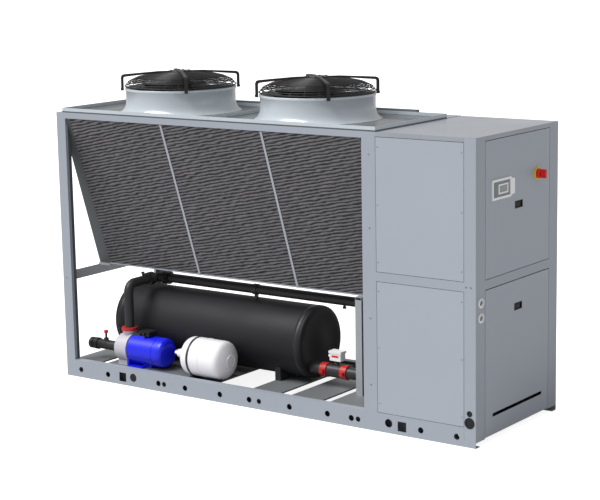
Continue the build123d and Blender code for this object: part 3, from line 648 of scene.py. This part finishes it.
# The coil blocks under the fin faces are coloured near black as painted shade in the fin pack's depth.
fin_painted_shade = finish("fin_painted_shade", (0.03, 0.03, 0.032), 0.6, metallic=0.2, scale=150, speckle=0.4, cloud=0.3)
dress(fin_painted_shade, "coil_front", "coil_rear")
front_low, front_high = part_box("coil_front")
rear_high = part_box("coil_rear")[1]
lean = radians(18.97)
coil_middle = (front_low.y + rear_high.y) / 2
coil_down = (front_high.z - front_low.z) / cos(lean)


def on_coil(x, down, proud, turn_back):
    """A point so far down one coil's leaning face and so far proud of it."""
    y = front_low.y + down * sin(lean) - proud * cos(lean)
    z = front_high.z - down * cos(lean) - proud * sin(lean)
    return Vector((x, 2 * coil_middle - y if turn_back else y, z))


columns, lines, x_in, end_in = 110, 290, 0.0005, 0.0003
face_length = front_high.x - front_low.x - 2 * x_in
for name, turn_back in (("front", False), ("rear", True)):
    points, faces = [], []
    for line in range(lines + 1):
        down = end_in + (coil_down - 2 * end_in) * line / lines
        level_z = front_high.z - down * cos(lean)
        for column in range(columns + 1):
            x = front_low.x + x_in + face_length * column / columns
            phase = (level_z * down_slope - row_rise * x) / row_pitch
            proud = 0.0006 + 0.0011 * (1 + sin(2 * pi * phase))
            points.append(on_coil(x, down, proud, turn_back))
    across = columns + 1
    for line in range(lines):
        for column in range(columns):
            here = line * across + column
            face = (here, here + across, here + across + 1, here + 1)
            faces.append(face[::-1] if turn_back else face)
    built("fin_face_" + name, points, faces, fin_metal, smooth=True)

# Coil frames: bright zinc strips are riveted over the joints between the coil blocks and along
# the foot of each coil.
strip_zinc = finish("strip_zinc", (0.52, 0.55, 0.60), 0.4, metallic=0.2, scale=200, speckle=0.1,
                    cloud=0.1, bump=0.05)
strip_back, strip_front, foot_height = 0.0031, 0.0046, 0.010
points, faces = [], []
for x0, x1, down0 in ((-0.7545, -0.7375, 0.002), (0.0905, 0.1075, 0.002),
                      (front_low.x, front_high.x, coil_down - foot_height)):
    for turn_back in (False, True):
        start = len(points)
        points.extend(on_coil(x, down, proud, turn_back) for x in (x0, x1)
                      for down in (down0, coil_down) for proud in (strip_back, strip_front))
        for side_face in box_sides:
            faces.append(tuple(start + corner for corner in side_face))
built("coil_strips", points, faces, strip_zinc)

# Copper lines and headers: drawn tube, brazed at its joints and left bare, with the cloudy
# brown that heat and air give it.
copper = finish("copper_tube", (0.55, 0.24, 0.12), 0.35, metallic=0.9, scale=200, speckle=0.2, cloud=0.4)
dress(copper, "coil_headers", "refrigerant_pipes")

# Buffer tank and discharge pipe: wrapped in black closed-cell foam sheet. The heads are cut
# pieces glued on, and tape covers the butt joints round the tank.
foam = finish("black_foam", (0.012, 0.012, 0.0145), 0.6, scale=700, speckle=0.3, cloud=0.3, bump=0.3)
foam.node_tree.nodes["Principled BSDF"].inputs["Specular IOR Level"].default_value = 0.35
dress(foam, "buffer_tank")
pipe_foam = finish("pipe_foam", (0.022, 0.022, 0.024), 0.5, scale=700, speckle=0.3, cloud=0.3, bump=0.3)
dress(pipe_foam, "discharge_pipe")
tape = finish("foam_tape", (0.016, 0.016, 0.019), 0.45, scale=300, speckle=0.2, bump=0.2)
tank_low, tank_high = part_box("buffer_tank")
tank_y, tank_z = (tank_low.y + tank_high.y) / 2, (tank_low.z + tank_high.z) / 2
tank_radius = (tank_high.z - tank_low.z) / 2
tape_under, tape_over = tank_radius - 0.001, tank_radius + 0.0009
tape_band = ((tape_under, 0), (tape_over, 0.001), (tape_over, 0.039), (tape_under, 0.040))
points, faces = [], []
for x in (tank_low.x + 0.032, tank_high.x - 0.072):
    spun(points, faces, (x, tank_y, tank_z), rightward, tape_band, 72)
built("tank_seams", points, faces, tape, smooth=True)

# Tank saddles, outlet pipe and suction union: welded steel in satin black paint.
# The saddles stand on the trays.
black_paint = finish("black_paint", (0.03, 0.03, 0.032), 0.4, scale=400, speckle=0.3, bump=0.1)
dress(black_paint, "tank_brackets", "outlet_pipe", "suction_union")

# Pump: a cast casing in pale primer on a blue painted motor, which has a black terminal box on
# top and stands on a folded foot.
casing_white = finish("casing_white", (0.56, 0.54, 0.60), 0.4, scale=300, speckle=0.1, bump=0.3)
dress(casing_white, "pump_casing")
motor_low, motor_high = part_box("pump_motor")
blue = finish("motor_blue", (0.006, 0.014, 0.80), 0.38, scale=400, speckle=0.05, bump=0.1, coat=0.2)
height_band(blue, motor_high.z - 0.018, 1.0, (0.02, 0.02, 0.02))
dress(blue, "pump_motor")
box_x, box_y, box_z = motor_low.x + 0.125, (motor_low.y + motor_high.y) / 2, motor_high.z - 0.012
cable_gland = ((0.010, 0), (0.010, 0.014), (0.006, 0.018), (0, 0.018))
points, faces = [], []
for half_x, half_y, z0, z1 in ((0.042, 0.040, -0.002, 0.024), (0.046, 0.044, 0.024, 0.030)):
    slab_on(points, faces, box_x - half_x, box_x + half_x, box_y - half_y, box_y + half_y,
            box_z + z0, box_z + z1)
spun(points, faces, (box_x, box_y - 0.040, box_z + 0.011), forward, cable_gland, 12)
built("terminal_box", points, faces, moulded_black)
foot_x, foot_half, foot_low, foot_bend, foot_high = motor_low.x - 0.004, 0.088, 0.1045, 0.118, 0.170
points, faces = [], []
for x1, z0, z1 in ((motor_low.x + 0.130, foot_low, foot_bend), (motor_low.x + 0.014, foot_bend, foot_high)):
    slab_on(points, faces, foot_x, x1, box_y - foot_half, box_y + foot_half, z0, z1)
built("motor_foot", points, faces, blue)

# Expansion vessel: a gloss white shell of two pressed halves rolled together at the middle,
# with a raised ring on its head.
vessel_white = finish("vessel_white", (0.93, 0.92, 0.95), 0.3, scale=300, speckle=0.03, bump=0.03, coat=0.4)
dress(vessel_white, "expansion_vessel")
vessel_low, vessel_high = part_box("expansion_vessel")
vessel_y, vessel_z = vessel_low.y + 0.134, (vessel_low.z + vessel_high.z) / 2
ring_x, ring_radius, roll_x = vessel_high.x - 0.0045, 0.042, vessel_high.x - 0.195
rolled_joint = ((0.1335, -0.006), (0.1362, -0.003), (0.1362, 0.003), (0.1335, 0.006))
turns = [2 * pi * step / 48 for step in range(48)]
ring = [Vector((ring_x, vessel_y + cos(turn) * ring_radius, vessel_z + sin(turn) * ring_radius))
        for turn in turns]
points, faces = [], []
wire(points, faces, ring, 0.0045, 8, True)
spun(points, faces, (roll_x, vessel_y, vessel_z), rightward, rolled_joint, 64)
built("vessel_rings", points, faces, vessel_white, smooth=True)

# Outlet fittings: grooved couplings of cast iron, painted red on the outlet and black on the
# discharge pipe above, and a flow switch with a lid, a cable gland and a red mark on its tee.
red_iron = finish("coupling_paint", (0.52, 0.022, 0.02), 0.4, scale=300, speckle=0.1, bump=0.2)
height_band(red_iron, 0.6, 1.0, (0.012, 0.012, 0.012))
dress(red_iron, "grooved_couplings")
switch_low, switch_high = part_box("flow_switch")
mark_end, lid_over = 0.020, 0.003
points, faces = [], []
slab_on(points, faces, switch_low.x + mark_end, switch_high.x - mark_end, switch_low.y - 0.0008,
        switch_low.y + 0.001, switch_low.z + 0.024, switch_low.z + 0.038)
built("switch_mark", points, faces, red_plastic)
switch_gland = ((0.011, 0), (0.011, 0.016), (0.008, 0.022), (0, 0.022))
points, faces = [], []
slab_on(points, faces, switch_low.x - lid_over, switch_high.x + lid_over, switch_low.y - lid_over,
        switch_high.y + lid_over, switch_high.z - 0.012, switch_high.z + 0.004)
gland_seat = (switch_low.x, (switch_low.y + switch_high.y) / 2, switch_low.z + 0.025)
spun(points, faces, gland_seat, (-1, 0, 0), switch_gland, 14)
built("switch_lid", points, faces, switch_white)

# Cabinet inside: plated hinge pins, a brazed stainless plate exchanger and the galvanised plate
# that carries the electrical gear.
steel = finish("bright_steel", (0.55, 0.55, 0.55), 0.3, metallic=0.9, scale=300, speckle=0.1)
dress(steel, "door_hinge_pins", "heat_exchanger", "electrical_plate")
